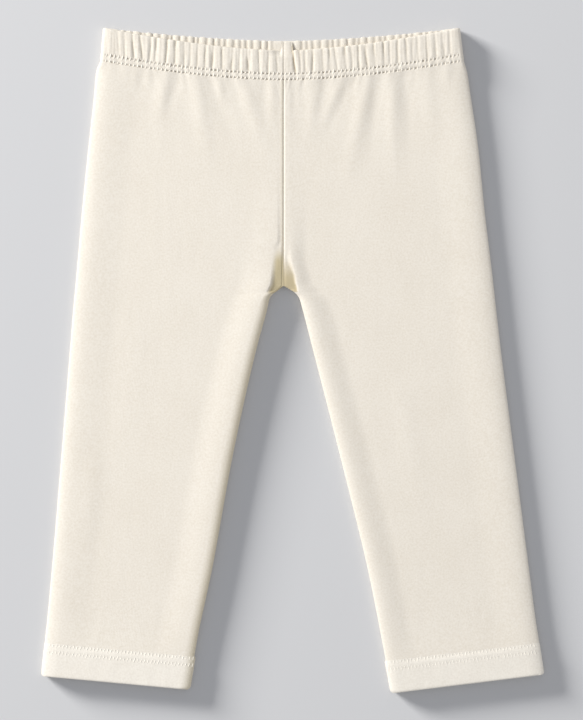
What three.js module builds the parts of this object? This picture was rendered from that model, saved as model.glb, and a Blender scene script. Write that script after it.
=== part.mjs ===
// A toddler's pull-on leggings in stretch jersey, laid flat with the front up. Sizes are in millimetres.
// X is to the right as the garment is looked at from above, Y is towards the waist, and Z is up from
// the surface that it lies on. The origin is on that surface, under the middle of the outline.
// Right and left are the wearer's, so the right leg is on the -X side.
//
// Each leg is one cut panel that is folded at the side and joined at the inseam. A panel is a sheet
// with u running round the leg, from the front's cut edge over the side fold to the back's cut edge,
// and v running down it, from the waist to the hem.
import * as THREE from "three";

// The cloth
const CLOTH = 1.1; // one layer of the jersey
const DOUBLE = 2 * CLOTH; // two layers: a turned hem, or the casing over its elastic
const GAP = 0.3; // between cut edges at a seam, and between layers that lie on each other
const STACK = 2 * CLOTH + GAP; // top of the front panel where it lies on the back panel
const BAND_TOP = 2 * DOUBLE + GAP; // top of the front of a hem or of the waistband

// The seam line, down the middle of the front and of the back
const SEAM_X = -5.2;

// Shape of the legs in section, from the inseam or centre seam to the side fold
const SIDE_RISE = 4.5; // from the top of the side fold to the crest beside it
const SIDE_SETTLE = 12; // from that crest down to where the front lies on the back
const SIDES = {
  right: { sign: -1, innerSettle: 15 },
  left: { sign: 1, innerSettle: 9 },
};

// One row for each level of the legs, from the waist to the hem's stitching. backRise is how much
// higher the back is cut than the front at the centre, bow is the exponent of the curve from the side
// to the centre, and steps is how many sections there are from this level to the next.
const LEVELS = [
  { name: "waist", backRise: 5.6, bow: 1.7, steps: 1 },
  { name: "puff", backRise: 5.2, bow: 1.6, steps: 2 },
  { name: "gathers", backRise: 4.4, bow: 1.5, steps: 3 },
  { name: "hip", backRise: 3.2, bow: 1.2, steps: 2 },
  { name: "seat", backRise: 1.6, bow: 1.0, steps: 2 },
  { name: "notch", backRise: 0.5, bow: 1.0, steps: 2 },
  { name: "crotch", backRise: 0, bow: 1.0, steps: 1 },
  { name: "arch", backRise: 0, bow: 1.0, steps: 1 },
  { name: "arch_side", backRise: 0, bow: 1.0, steps: 1 },
  { name: "arch_foot", backRise: 0, bow: 1.0, steps: 1 },
  { name: "thigh", backRise: 0, bow: 1.0, steps: 2 },
  { name: "above_knee", backRise: 0, bow: 1.0, steps: 2 },
  { name: "knee", backRise: 0, bow: 1.0, steps: 2 },
  { name: "calf", backRise: 0, bow: 1.0, steps: 2 },
  { name: "ankle", backRise: 0, bow: 1.0, steps: 1 },
  { name: "hem", backRise: 0, bow: 1.0, steps: 0 },
];
const FIRST_CLOSED = "arch"; // from here down, the front's edge meets the back's edge at the inseam

// Heights above the surface at each level, in millimetres: the side fold, the crest beside it, the
// middle of the front, the crest beside the inner edge, which is innerRise in from it, and that edge.
const HEIGHTS = [
  { side: 4.5, sideCrest: 4.6, rest: 4.2, innerCrest: 4.4, innerRise: 2.5, edge: 3.9 },
  { side: 4.3, sideCrest: 4.9, rest: 3.8, innerCrest: 4.2, innerRise: 2.5, edge: 3.4 },
  { side: 4.1, sideCrest: 4.7, rest: 3.2, innerCrest: 3.7, innerRise: 2.5, edge: 3.0 },
  { side: 3.9, sideCrest: 4.6, rest: 2.9, innerCrest: 3.3, innerRise: 2.5, edge: 2.6 },
  { side: 3.8, sideCrest: 4.6, rest: 2.9, innerCrest: 3.3, innerRise: 2.8, edge: 2.6 },
  { side: 3.8, sideCrest: 4.6, rest: 3.0, innerCrest: 4.0, innerRise: 3.0, edge: 2.6 },
  { side: 3.8, sideCrest: 4.6, rest: 3.0, innerCrest: 4.9, innerRise: 5.2, edge: STACK },
  { side: 3.8, sideCrest: 4.6, rest: 3.0, innerCrest: 5.1, innerRise: 3.4, edge: STACK },
  { side: 3.8, sideCrest: 4.6, rest: 3.0, innerCrest: 5.1, innerRise: 2.8, edge: 3.0 },
  { side: 3.8, sideCrest: 4.6, rest: 3.0, innerCrest: 5.1, innerRise: 2.4, edge: 3.6 },
  { side: 3.8, sideCrest: 4.6, rest: 3.0, innerCrest: 5.1, innerRise: 2.4, edge: 4.1 },
  { side: 3.8, sideCrest: 4.6, rest: 3.0, innerCrest: 5.0, innerRise: 2.6, edge: 4.2 },
  { side: 3.8, sideCrest: 4.5, rest: 3.0, innerCrest: 4.8, innerRise: 3.0, edge: 4.1 },
  { side: 3.8, sideCrest: 4.4, rest: 3.1, innerCrest: 4.6, innerRise: 3.4, edge: 4.0 },
  { side: 4.0, sideCrest: 4.5, rest: 3.5, innerCrest: 4.6, innerRise: 3.6, edge: 4.1 },
  { side: 4.3, sideCrest: 4.5, rest: 4.1, innerCrest: 4.5, innerRise: 4.0, edge: 4.3 },
];

// The outline at each level: the side fold, and the centre seam or inseam.
const OUTLINES = {
  right: [
    { sideX: -108.7, sideY: 168.4, innerX: SEAM_X, innerY: 157.6 },
    { sideX: -110.8, sideY: 163.0, innerX: SEAM_X, innerY: 152.6 },
    { sideX: -112.3, sideY: 147.2, innerX: SEAM_X, innerY: 138.5 },
    { sideX: -115.4, sideY: 118.9, innerX: SEAM_X, innerY: 114.0 },
    { sideX: -118.8, sideY: 85.0, innerX: SEAM_X, innerY: 84.0 },
    { sideX: -120.9, sideY: 61.0, innerX: SEAM_X, innerY: 59.0 },
    { sideX: -122.2, sideY: 46.0, innerX: SEAM_X, innerY: 42.1 },
    { sideX: -122.6, sideY: 42.0, innerX: -7.8, innerY: 39.8 },
    { sideX: -123.0, sideY: 38.0, innerX: -10.2, innerY: 37.6 },
    { sideX: -123.4, sideY: 34.0, innerX: -11.8, innerY: 35.0 },
    { sideX: -124.0, sideY: 27.0, innerX: -13.5, innerY: 28.4 },
    { sideX: -125.6, sideY: 7.0, innerX: -20.3, innerY: 5.9 },
    { sideX: -130.1, sideY: -48.5, innerX: -32.9, innerY: -50.6 },
    { sideX: -135.6, sideY: -114.5, innerX: -45.3, innerY: -118.4 },
    { sideX: -138.5, sideY: -146.0, innerX: -52.7, innerY: -152.8 },
    { sideX: -139.9, sideY: -159.1, innerX: -55.2, innerY: -166.8 },
  ],
  left: [
    { sideX: 96.7, sideY: 168.4, innerX: SEAM_X, innerY: 157.6 },
    { sideX: 98.3, sideY: 163.0, innerX: SEAM_X, innerY: 152.6 },
    { sideX: 100.7, sideY: 147.2, innerX: SEAM_X, innerY: 138.5 },
    { sideX: 104.8, sideY: 118.9, innerX: SEAM_X, innerY: 114.0 },
    { sideX: 108.2, sideY: 85.0, innerX: SEAM_X, innerY: 84.0 },
    { sideX: 111.1, sideY: 61.0, innerX: SEAM_X, innerY: 59.0 },
    { sideX: 112.9, sideY: 46.0, innerX: SEAM_X, innerY: 42.1 },
    { sideX: 113.3, sideY: 42.0, innerX: -2.4, innerY: 40.4 },
    { sideX: 113.8, sideY: 38.0, innerX: 0.7, innerY: 38.4 },
    { sideX: 114.2, sideY: 34.0, innerX: 3.3, innerY: 35.2 },
    { sideX: 115.0, sideY: 27.0, innerX: 5.3, innerY: 28.4 },
    { sideX: 117.3, sideY: 7.0, innerX: 11.1, innerY: 5.9 },
    { sideX: 124.4, sideY: -48.5, innerX: 25.6, innerY: -50.6 },
    { sideX: 132.9, sideY: -114.5, innerX: 42.2, innerY: -118.4 },
    { sideX: 137.1, sideY: -146.5, innerX: 49.2, innerY: -153.5 },
    { sideX: 139.1, sideY: -159.0, innerX: 52.2, innerY: -169.2 },
  ],
};

// Lower edges of the hems, and how much wider a hem is than the leg above its stitching
const HEM_EDGE = {
  right: { sideX: -142.0, sideY: -178.0, innerX: -57.8, innerY: -185.6 },
  left: { sideX: 142.0, sideY: -177.1, innerX: 55.2, innerY: -187.6 },
};
const HEM_STEP = 0.5;

// Upper edge of the waistband: the side, and the centre of the front and of the back
const BAND_EDGE = {
  right: { sideX: -107.0, sideY: 187.8 },
  left: { sideX: 94.3, sideY: 187.8 },
};
const BAND_FRONT_TOP = 174.9;
const BAND_BACK_TOP = 180.5;
const BAND_BOW = 1.6; // exponent of the upper edge's curve

// Soft ridges that run down the front from the gathers, and shallow ones lower down: from one point to
// another, with the height at the first point and the half width.
const RIDGES = [
  { fromX: -93.5, fromY: 166.0, toX: -92.0, toY: 154.0, height: 0.4, width: 1.9 },
  { fromX: -88.0, fromY: 165.0, toX: -90.5, toY: 148.0, height: 0.5, width: 2.1 },
  { fromX: -71.8, fromY: 163.0, toX: -75.0, toY: 126.0, height: 0.9, width: 4.6 },
  { fromX: -54.7, fromY: 160.0, toX: -48.0, toY: 112.0, height: 0.9, width: 4.8 },
  { fromX: -41.7, fromY: 159.0, toX: -40.0, toY: 139.0, height: 0.6, width: 3.2 },
  { fromX: -28.5, fromY: 158.0, toX: -13.5, toY: 118.0, height: 0.9, width: 4.6 },
  { fromX: -11.5, fromY: 158.0, toX: -10.5, toY: 120.0, height: 0.5, width: 2.8 },
  { fromX: 12.0, fromY: 158.0, toX: 10.0, toY: 128.0, height: 0.9, width: 4.2 },
  { fromX: 27.5, fromY: 158.5, toX: 17.5, toY: 136.0, height: 0.8, width: 3.4 },
  { fromX: 43.0, fromY: 161.0, toX: 31.0, toY: 108.0, height: 1.0, width: 4.8 },
  { fromX: 56.2, fromY: 163.0, toX: 56.6, toY: 114.0, height: 1.0, width: 4.6 },
  { fromX: 74.5, fromY: 165.0, toX: 81.0, toY: 106.0, height: 0.8, width: 5.6 },
  { fromX: -112.0, fromY: -60.0, toX: -121.0, toY: -140.0, height: 0.35, width: 6.0 },
  { fromX: 61.0, fromY: -20.0, toX: 78.0, toY: -110.0, height: 0.3, width: 7.0 },
];
const RIDGE_MASK = 7; // a ridge dies away over this distance from a cut edge or the side fold

// Gathers of the waistband
const GATHERS = { right: 21, left: 22 }; // in each half of the front, and again behind it in the back
const LOBE = 0.5; // height of a gather above the band's middle surface
const VALLEY = -0.55; // depth of the crease between two gathers
const SMOOTH_END = 7; // plain stretch at the side fold
const SEAM_FLAT = { right: 3, left: 5.5 }; // plain stretch beside the centre seam, over the allowance
const GATHER_DRIFT = 0.3; // how unevenly the gathers are spaced, as a share of one gather

// Rows of the waistband, from the stitching to the folded top edge. swell is the share of the
// gathers' height that shows there, squeeze is how far each shown face is drawn in, and lift is how
// far the underside turns up.
const BAND_ROWS = [
  { up: 0, swell: 0.3, squeeze: 0.1, lift: 0 },
  { up: 0.28, swell: 0.85, squeeze: 0, lift: 0 },
  { up: 0.9, swell: 1, squeeze: 0.05, lift: 0 },
  { up: 1, swell: 0.8, squeeze: 0.6, lift: 0.6 },
];

const SLOPE_STEP = 0.2; // distance over which a slope is taken

// Samples along the stretches of a section, from the front's edge to the back's edge
const SAMPLES = { edge: 3, rise: 3, settle: 3, middle: 16, sideRise: 2, sideArc: 3, under: 5 };

const lerp = (a, b, t) => a + (b - a) * t;
const clamp01 = (t) => Math.min(1, Math.max(0, t));
const smooth = (t) => clamp01(t) ** 2 * (3 - 2 * clamp01(t));
const easeOut = (t, power) => 1 - (1 - clamp01(t)) ** power;

// A value that passes smoothly through the four numbers a, b, c and d, from b to c.
function through(a, b, c, d, t) {
  const rise = (c - a) / 2;
  const leave = (d - b) / 2;
  return (
    (2 * b - 2 * c + rise + leave) * t ** 3 +
    (-3 * b + 3 * c - 2 * rise - leave) * t ** 2 +
    rise * t +
    b
  );
}

// The row between rows i and i + 1 of a table, with each number taken along a smooth curve.
function rowBetween(table, i, t) {
  const at = (k) => table[Math.min(table.length - 1, Math.max(0, k))];
  const row = {};
  for (const key of Object.keys(table[i])) {
    if (typeof table[i][key] !== "number") continue;
    const [before, from, to, after] = [-1, 0, 1, 2].map((step) => at(i + step)[key]);
    row[key] = t === 0 ? from : through(before, from, to, after, t);
  }
  return row;
}

// How much the soft ridges add to the front at a point.
function ridgeHeight(x, y) {
  let sum = 0;
  for (const ridge of RIDGES) {
    const runX = ridge.toX - ridge.fromX;
    const runY = ridge.toY - ridge.fromY;
    const along = ((x - ridge.fromX) * runX + (y - ridge.fromY) * runY) / (runX ** 2 + runY ** 2);
    const t = clamp01(along);
    const away = Math.hypot(x - ridge.fromX - t * runX, y - ridge.fromY - t * runY);
    sum += ridge.height * (1 - smooth(t)) * Math.exp(-((away / ridge.width) ** 2));
  }
  return sum;
}

// Where a point of a section lies in plan. inward is its distance from the inner end.
function planPoint(row, inward, isBack) {
  const share = inward / row.span;
  const innerY = row.innerY + (isBack ? row.backRise : 0);
  return {
    x: lerp(row.innerX, row.sideX, share),
    y: lerp(row.sideY, innerY, easeOut(1 - share, row.bow)),
  };
}

// Height of the front's outer face at a distance from the inner end, away from the two folded ends.
function frontHeight(row, inward, innerSettle) {
  const fromSide = row.span - inward;
  const innerTop = row.edgeWidth + row.innerRise;
  const sideTop = row.side / 2 + SIDE_RISE;
  if (inward < innerTop) {
    return lerp(row.edge, row.innerCrest, smooth((inward - row.edgeWidth) / row.innerRise));
  }
  if (fromSide < sideTop) {
    return lerp(row.side, row.sideCrest, smooth((fromSide - row.side / 2) / SIDE_RISE));
  }
  const innerPart = (row.innerCrest - row.rest) * (1 - smooth((inward - innerTop) / innerSettle));
  const sidePart = (row.sideCrest - row.rest) * (1 - smooth((fromSide - sideTop) / SIDE_SETTLE));
  const { x, y } = planPoint(row, inward, false);
  const mask = smooth((inward - row.edgeWidth) / RIDGE_MASK) * smooth(fromSide / RIDGE_MASK - 0.5);
  return row.rest + innerPart + sidePart + ridgeHeight(x, y) * mask;
}

// The outer face of one section, as points that each have a distance inward from the inner end, a
// height, the outward direction in the section's own plane, and whether they are on the back.
function sectionPoints(row, innerSettle) {
  const points = [];
  const quarter = Math.PI / 2;
  const put = (inward, z, outIn, outZ, isBack) => points.push({ inward, z, outIn, outZ, isBack });
  const putFront = (inward) => {
    const [before, here, after] = [-SLOPE_STEP, 0, SLOPE_STEP].map((step) =>
      frontHeight(row, inward + step, innerSettle),
    );
    const slope = (after - before) / (2 * SLOPE_STEP);
    const size = Math.hypot(1, slope);
    put(inward, here, -slope / size, 1 / size, false);
  };

  // The front's cut edge, which turns down to meet the back's where the leg is closed
  const radius = row.edge / 2;
  const putEdge = (share, isBack) => {
    const up = isBack ? -1 : 1;
    const angle = share * quarter;
    const [cos, sin] = [Math.cos(angle), Math.sin(angle)];
    if (row.closed) {
      const apart = share === 0 ? GAP / 2 : 0;
      put(radius * (1 - cos), radius + up * (radius * sin + apart), -cos, up * sin, isBack);
    } else {
      put(row.edgeWidth * share, isBack ? 0 : row.edge, 0, up, isBack);
    }
  };
  for (let k = 0; k < SAMPLES.edge; k++) putEdge(k / SAMPLES.edge, false);

  // Over the front, to the top of the side fold
  const ends = row.edgeWidth + row.innerRise + innerSettle + SIDE_SETTLE + SIDE_RISE + row.side / 2;
  const stretches = [
    { length: row.innerRise, count: SAMPLES.rise },
    { length: innerSettle, count: SAMPLES.settle },
    { length: row.span - ends, count: SAMPLES.middle },
    { length: SIDE_SETTLE, count: SAMPLES.settle },
    { length: SIDE_RISE, count: SAMPLES.sideRise },
  ];
  let inward = row.edgeWidth;
  for (const { length, count } of stretches) {
    for (let k = 0; k < count; k++) putFront(inward + (length * k) / count);
    inward += length;
  }

  // Round the side fold, from its top to the surface underneath
  const fold = row.side / 2;
  for (let k = 0; k < 2 * SAMPLES.sideArc; k++) {
    const angle = quarter - (k / SAMPLES.sideArc) * quarter;
    put(
      row.span - fold + fold * Math.cos(angle),
      fold + fold * Math.sin(angle),
      Math.cos(angle),
      Math.sin(angle),
      angle < 0,
    );
  }

  // Along the flat underside, to the back's cut edge
  const underLength = row.span - fold - row.edgeWidth;
  for (let k = 0; k <= SAMPLES.under; k++) {
    put(row.span - fold - (underLength * k) / SAMPLES.under, 0, 0, -1, true);
  }
  for (let k = SAMPLES.edge - 1; k >= 0; k--) putEdge(k / SAMPLES.edge, true);
  return points;
}

// A closed solid from two grids of the same size, the outer and the inner face of a sheet, and the
// four rims that join them. Columns of a grid run round the garment and rows run down it.
function sheetGeometry(outer, inner) {
  const rows = outer.length;
  const columns = outer[0].length;
  const positions = [...outer.flat(), ...inner.flat()].flatMap((p) => [p.x, p.y, p.z]);
  const outerAt = (r, c) => r * columns + c;
  const innerAt = (r, c) => rows * columns + r * columns + c;
  const index = [];
  const quad = (a, b, c, d) => index.push(a, b, c, a, c, d);
  for (let r = 0; r + 1 < rows; r++) {
    for (let c = 0; c + 1 < columns; c++) {
      quad(outerAt(r, c), outerAt(r + 1, c), outerAt(r + 1, c + 1), outerAt(r, c + 1));
      quad(innerAt(r, c), innerAt(r, c + 1), innerAt(r + 1, c + 1), innerAt(r + 1, c));
    }
    quad(outerAt(r, 0), innerAt(r, 0), innerAt(r + 1, 0), outerAt(r + 1, 0));
    const last = columns - 1;
    quad(outerAt(r, last), outerAt(r + 1, last), innerAt(r + 1, last), innerAt(r, last));
  }
  for (let c = 0; c + 1 < columns; c++) {
    quad(outerAt(0, c), outerAt(0, c + 1), innerAt(0, c + 1), innerAt(0, c));
    const last = rows - 1;
    quad(outerAt(last, c), innerAt(last, c), innerAt(last, c + 1), outerAt(last, c + 1));
  }
  return new THREE.BufferGeometry()
    .setAttribute("position", new THREE.Float32BufferAttribute(positions, 3))
    .setIndex(index);
}

// The two grids run the other way round on the garment's other side, so one of them is turned.
const facing = (grid, side) => (side === "left" ? grid : grid.map((row) => [...row].reverse()));

// The outer and inner faces of a sheet whose sections are given, for a wall of one thickness.
function wallFromRows(rows, side, thickness, innerSettle) {
  const outer = [];
  const inner = [];
  for (const row of rows) {
    const points = sectionPoints(row, innerSettle);
    outer.push(points.map((p) => ({ ...planPoint(row, p.inward, p.isBack), z: p.z })));
    inner.push(
      points.map((p) => ({
        ...planPoint(row, p.inward - p.outIn * thickness, p.isBack),
        z: p.z - p.outZ * thickness,
      })),
    );
  }
  return sheetGeometry(facing(outer, side), facing(inner, side));
}

// Sets what a section works out from its two ends. Where the leg is open, its edge stops short of the
// centre seam by half the gap.
function finishRow(row, side, closed) {
  const innerX = closed ? row.innerX : row.innerX + (SIDES[side].sign * GAP) / 2;
  const span = Math.hypot(row.sideX - innerX, row.sideY - row.innerY);
  const edgeWidth = closed ? row.edge / 2 : STACK / 2;
  return { ...row, innerX, span, closed, edgeWidth };
}

// A leg: one panel, from under the waistband to the hem's stitching.
function legGeometry(side) {
  const firstClosed = LEVELS.findIndex((level) => level.name === FIRST_CLOSED);
  const rows = [];
  LEVELS.forEach((level, i) => {
    for (let k = 0; k < Math.max(1, level.steps); k++) {
      const t = k / Math.max(1, level.steps);
      const row = {};
      for (const table of [LEVELS, HEIGHTS, OUTLINES[side]]) Object.assign(row, rowBetween(table, i, t));
      if (i < firstClosed) row.innerX = SEAM_X;
      rows.push(finishRow(row, side, i >= firstClosed));
    }
  });
  return wallFromRows(rows, side, CLOTH, SIDES[side].innerSettle);
}

// A hem: two layers thick, from just under the stitching to the folded lower edge.
function hemGeometry(side) {
  const legEnd = OUTLINES[side][OUTLINES[side].length - 1];
  const step = SIDES[side].sign * HEM_STEP;
  const start = { ...legEnd, sideX: legEnd.sideX + step, innerX: legEnd.innerX - step };
  const end = HEM_EDGE[side];
  const depth = Math.hypot(end.sideX - start.sideX, end.sideY - start.sideY);
  const band = { backRise: 0, bow: 1, innerRise: 4 };
  const rowAt = (down, squeeze) => {
    const place = {};
    for (const key of Object.keys(end)) place[key] = lerp(start[key], end[key], down);
    const top = BAND_TOP - 2 * squeeze;
    const row = { ...band, ...place, side: top, sideCrest: top, edge: top, innerCrest: top, rest: top };
    return finishRow(row, side, true);
  };
  const rows = [rowAt(GAP / depth, 0.12), rowAt(0.2, 0), rowAt(0.94, 0), rowAt(1, 0)];
  return wallFromRows(rows, side, DOUBLE, SIDES[side].innerSettle);
}

// Positions across one half of the waistband's front or back, from the centre seam to the side, as
// shares of the way, each with its height in the gathers: two points on a lobe, then one in a crease.
function gatherSamples(side, width) {
  const flat = SEAM_FLAT[side];
  const pitch = (width - flat - SMOOTH_END) / GATHERS[side];
  const samples = [
    { across: 0, wave: 0 },
    { across: (flat * 0.85) / width, wave: 0.25 },
  ];
  for (let i = 0; i < GATHERS[side]; i++) {
    const drift = GATHER_DRIFT * Math.sin(i * 2.4 + SIDES[side].sign) * Math.sin(i * 0.7);
    const size = 0.75 + 0.25 * Math.sin(i * 1.9 + 2 * SIDES[side].sign);
    const at = (phase) => (flat + (i + phase + drift * 0.5) * pitch) / width;
    samples.push({ across: at(0.14), wave: VALLEY * size });
    samples.push({ across: at(0.45), wave: LOBE * size });
    samples.push({ across: at(0.82), wave: LOBE * size });
  }
  return samples;
}

// One half of the waistband: the casing over the elastic, from the centre front seam round the side
// to the centre back seam. The gathers stand on the front's outer face, and on the back's inner face
// where that shows above the front. The underside is flat.
function waistbandGeometry(side) {
  const { sign } = SIDES[side];
  const bottom = OUTLINES[side][0];
  const top = BAND_EDGE[side];
  const seamX = SEAM_X + (sign * GAP) / 2;
  const width = Math.abs(top.sideX - seamX);
  const fold = BAND_TOP / 2;
  const samples = gatherSamples(side, width - fold);
  const backRise = LEVELS[0].backRise;

  const edgeY = (across, up, isBack) => {
    const lowCentre = bottom.innerY + (isBack ? backRise : 0);
    const highCentre = isBack ? BAND_BACK_TOP : BAND_FRONT_TOP;
    const low = lerp(bottom.sideY, lowCentre, easeOut(1 - across, LEVELS[0].bow)) + GAP;
    const high = lerp(top.sideY, highCentre, easeOut(1 - across, BAND_BOW));
    return lerp(low, high, up);
  };
  const outer = [];
  const inner = [];
  for (const { up, swell, squeeze, lift } of BAND_ROWS) {
    const sideX = lerp(bottom.sideX, top.sideX, up);
    const plan = (distance, isBack) => {
      const across = distance / width;
      return { x: lerp(seamX, sideX, across), y: edgeY(across, up, isBack) };
    };
    const outerRow = [];
    const innerRow = [];
    for (const { across, wave } of samples) {
      const at = plan(across * (width - fold), false);
      outerRow.push({ ...at, z: BAND_TOP + wave * swell - squeeze });
      innerRow.push({ ...at, z: DOUBLE + GAP + squeeze });
    }
    for (let k = 0; k <= 2 * SAMPLES.sideArc; k++) {
      const angle = (1 - k / SAMPLES.sideArc) * (Math.PI / 2);
      const isBack = k > SAMPLES.sideArc;
      const arc = (radius) => ({
        ...plan(width - fold + radius * Math.cos(angle), isBack),
        z: fold + radius * Math.sin(angle),
      });
      outerRow.push(arc(fold - (isBack ? lift : squeeze)));
      innerRow.push(arc(GAP / 2));
    }
    for (const { across, wave } of [...samples].reverse()) {
      const at = plan(across * (width - fold), true);
      const shown = smooth((at.y - edgeY(across, 1, false) - 1) / 3);
      const dent = Math.min(0, wave - LOBE) * swell * shown;
      outerRow.push({ ...at, z: lift });
      innerRow.push({ ...at, z: DOUBLE + 0.6 * dent - squeeze });
    }
    outer.unshift(outerRow);
    inner.unshift(innerRow);
  }
  return sheetGeometry(facing(outer, side), facing(inner, side));
}

// Cream cotton and elastane jersey, brushed to a soft matt face
const jersey = () => new THREE.MeshStandardMaterial({ color: 0xf0e9dd, roughness: 0.95, metalness: 0 });

const leggings = new THREE.Group();
const pieces = { leg: legGeometry, hem: hemGeometry, waistband: waistbandGeometry };
for (const [piece, geometryOf] of Object.entries(pieces)) {
  for (const side of Object.keys(SIDES)) {
    const mesh = new THREE.Mesh(geometryOf(side), jersey());
    mesh.name = `${piece}_${side}`;
    leggings.add(mesh);
  }
}

export default leggings;
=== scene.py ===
"""A toddler's leggings in cream brushed jersey, laid flat on a pale floor with the front up.

The classes hold their sizes in millimetres. Meshes are made in metres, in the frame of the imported
model: +X to the wearer's left, +Y to the waist and +Z up from the floor.
"""

from __future__ import annotations

import logging
import math
from bisect import bisect
from dataclasses import dataclass
from enum import Enum, auto
from functools import cache, cached_property
from itertools import count
from typing import Iterable, NamedTuple, Sequence

import bmesh
import bpy
import numpy
from mathutils import Matrix, Vector, noise


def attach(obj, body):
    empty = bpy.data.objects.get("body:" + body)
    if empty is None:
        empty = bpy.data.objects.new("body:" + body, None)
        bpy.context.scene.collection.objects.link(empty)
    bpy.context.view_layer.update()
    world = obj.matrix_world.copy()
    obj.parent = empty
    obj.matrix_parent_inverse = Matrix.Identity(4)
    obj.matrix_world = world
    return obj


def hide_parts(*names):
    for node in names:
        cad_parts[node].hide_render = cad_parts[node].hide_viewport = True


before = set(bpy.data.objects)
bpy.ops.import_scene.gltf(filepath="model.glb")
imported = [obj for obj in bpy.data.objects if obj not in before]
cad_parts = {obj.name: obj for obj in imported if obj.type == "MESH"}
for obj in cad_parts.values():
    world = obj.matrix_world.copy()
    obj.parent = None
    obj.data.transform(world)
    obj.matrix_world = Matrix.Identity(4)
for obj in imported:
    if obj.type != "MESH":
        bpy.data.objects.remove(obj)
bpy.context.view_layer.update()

LOG = logging.getLogger("leggings")
MM = 0.001

CLOTH = 1.1  # one layer of the jersey
DOUBLE = 2 * CLOTH  # a turned hem, or the casing over its elastic
LAYER_GAP = 0.3  # between the layers that lie on each other
BAND_TOP = 2 * DOUBLE + LAYER_GAP
STACK = 2 * CLOTH + LAYER_GAP
SEAM_X = -5.2  # the centre front seam
SEAM_GAP = 0.05  # what still shows between two edges that are sewn together
SHARP = 0.9  # the angle in radians past which an edge stays sharp
WAVE = 3.18  # the bands to a metre of a wave texture whose scale is 1

Mesh = bmesh.types.BMesh
Object = bpy.types.Object
Material = bpy.types.Material


class Side(Enum):
    """The two sides of the garment, as its wearer has them."""

    RIGHT = "right"
    LEFT = "left"

    @property
    def sign(self) -> int:
        """Returns the direction along X from the seam to this side."""
        return 1 if self is Side.LEFT else -1


class Stretch(Enum):
    """The stretches of a section, in order from the front's inner end round to the back's."""

    FRONT_EDGE = auto()
    RISE = auto()
    SETTLE = auto()
    MIDDLE = auto()
    SIDE_SETTLE = auto()
    SIDE_RISE = auto()
    SIDE_ARC = auto()
    UNDER = auto()
    BACK_EDGE = auto()


class Section(NamedTuple):
    """A section across one leg: heights above the floor first, and then its two ends in plan.

    The last four are how wide the notch beside the seam is, how round the two folds are, and how
    far the crest beside the inner edge takes to come down to where the front lies on the back.
    """

    back_rise: float
    bow: float
    side: float
    side_crest: float
    rest: float
    inner_crest: float
    inner_rise: float
    edge: float
    side_x: float
    side_y: float
    inner_x: float
    inner_y: float
    notch: float = 0.0
    side_round: float = 0.0
    inner_round: float = 0.0
    settle: float = 15.0


class Spot(NamedTuple):
    """A point of a section: how far it is from the inner end, and its height."""

    inward: float
    height: float
    is_back: bool


class Fold(NamedTuple):
    """A soft ridge, or a trough where the height is negative, from one point to another."""

    from_x: float
    from_y: float
    to_x: float
    to_y: float
    height: float
    width: float


class Crease(NamedTuple):
    """A crease between two gathers: how far it is from the centre seam, and how deep it is."""

    at_top: float
    at_stitching: float
    depth: float


Rows = Sequence[Sequence[Vector]]
Places = Sequence[tuple[int, int]]
Column = tuple[Stretch, float]

# The heights of each level of a leg, waist first: back_rise, bow, side, side_crest, rest,
# inner_crest, inner_rise and edge.
PROFILE = (
    (5.6, 1.7, 4.5, 4.6, 4.3, 4.4, 2.5, 4.3),
    (5.2, 1.6, 4.3, 4.5, 3.9, 4.1, 2.5, 4.0),
    (4.4, 1.5, 4.1, 4.3, 3.5, 3.7, 2.5, 3.6),
    (3.2, 1.2, 3.9, 4.15, 3.4, 3.5, 2.5, 3.4),
    (1.6, 1.0, 3.8, 4.1, 3.4, 3.7, 2.5, 3.5),
    (0.5, 1.0, 3.8, 4.1, 3.4, 3.9, 2.2, 3.4),
    (0.0, 1.0, 3.8, 4.1, 3.4, 4.8, 1.1, STACK),
    (0.0, 1.0, 3.8, 4.1, 3.4, 4.9, 1.1, STACK),
    (0.0, 1.0, 3.8, 4.1, 3.4, 4.9, 1.5, 3.2),
    (0.0, 1.0, 3.8, 4.1, 3.4, 4.9, 2.4, 4.0),
    (0.0, 1.0, 3.8, 4.1, 3.4, 4.9, 3.2, 4.3),
    (0.0, 1.0, 3.8, 4.1, 3.4, 4.8, 3.6, 4.4),
    (0.0, 1.0, 3.8, 4.1, 3.4, 4.7, 3.6, 4.4),
    (0.0, 1.0, 3.8, 4.1, 3.4, 4.6, 3.6, 4.3),
    (0.0, 1.0, 4.0, 4.2, 3.6, 4.6, 3.6, 4.3),
    (0.0, 1.0, 4.3, 4.5, 4.1, 4.5, 4.0, 4.4),
)
CROTCH = 6  # the level at the low end of the centre seam: the leg is closed from the next one down
FINE_LEVELS = range(5, 11)  # the levels round the crotch, which need closer rows

# How many columns of a leg's mesh each stretch of its section has
LEG_COLUMNS = dict(zip(Stretch, (6, 17, 12, 54, 10, 5, 12, 18, 6)))

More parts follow.
